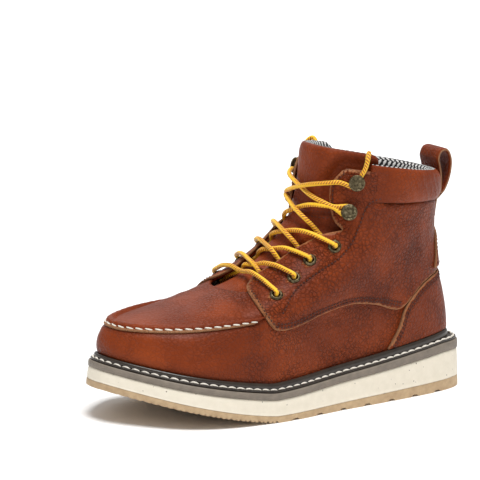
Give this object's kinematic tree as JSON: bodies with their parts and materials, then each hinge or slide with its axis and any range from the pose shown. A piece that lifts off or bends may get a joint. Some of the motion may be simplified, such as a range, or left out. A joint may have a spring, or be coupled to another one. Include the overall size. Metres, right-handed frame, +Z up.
{
  "type": "moc toe work boot",
  "caption": "Left ankle-high laced work boot: leather upper with a raised moc toe seam, padded collar and tongue, pull loop, eyelets and hooks, on a flat wedge sole.",
  "frame": {"origin": "middle of the boot's footprint on the ground, under its bounding box", "axes": "+X from heel to toe, +Y to the outer side of the left foot, +Z up"},
  "size_m": [0.315, 0.1216, 0.1941],
  "materials": {
    "outsole": "matte, tan",
    "midsole": "matte, cream, fine dark specks",
    "ledge": "matte, taupe grey",
    "welt": "satin, dark taupe, white lock stitch",
    "board": "matte",
    "leather": "pebbled reddish brown, slight sheen",
    "seam": "raised seam with white stitches and a tan raw edge",
    "brass": "antique",
    "lace": "round braid, yellow with brown flecks"
  },
  "bodies": {
    "root": {"outsole": "outsole", "midsole": "midsole", "ledge": "ledge", "storm_welt": "welt", "insole": "board", "upper": "leather", "apron_seam": "seam", "quarter_lateral": "leather", "quarter_medial": "leather", "counter": "leather", "backstay": "leather", "cuff": "leather", "tongue": "leather", "pull_loop": "leather", "eyelet_lateral_1": "brass", "eyelet_lateral_2": "brass", "eyelet_lateral_3": "brass", "eyelet_lateral_4": "brass", "hook_lateral_1": "brass", "hook_lateral_2": "brass", "eyelet_medial_1": "brass", "eyelet_medial_2": "brass", "eyelet_medial_3": "brass", "eyelet_medial_4": "brass", "hook_medial_1": "brass", "hook_medial_2": "brass", "laces": "lace", "lace_end_lateral": "lace", "lace_end_medial": "lace"}
  },
  "joints": []
}
